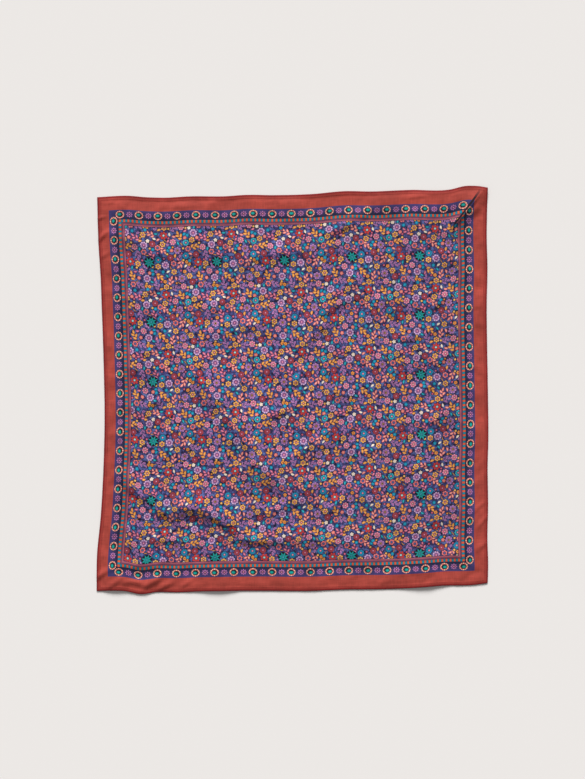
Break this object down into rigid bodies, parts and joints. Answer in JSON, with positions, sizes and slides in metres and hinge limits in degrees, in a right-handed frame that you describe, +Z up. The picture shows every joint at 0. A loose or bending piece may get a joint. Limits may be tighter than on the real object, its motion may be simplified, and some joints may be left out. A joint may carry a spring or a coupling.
{
  "type": "square cotton scarf",
  "caption": "Square scarf of thin printed cotton with a narrow turned hem on every side, laid out flat with soft folds.",
  "frame": {"origin": "middle of the box round the outline, on the surface that the scarf lies on", "axes": "+Z up out of the cloth, +Y towards the top edge, +X towards the right edge, seen from above"},
  "size_m": [0.5504, 0.5735, 0.008],
  "materials": {
    "printed_cotton": "light plain-woven cotton with a dense flower print on indigo and a brick-red printed border",
    "hem_cotton": "the same cotton in its brick-red border, turned under twice and stitched"
  },
  "bodies": {
    "root": {"panel": "printed_cotton", "hem_top": "hem_cotton", "hem_right": "hem_cotton", "hem_bottom": "hem_cotton", "hem_left": "hem_cotton"}
  },
  "joints": []
}
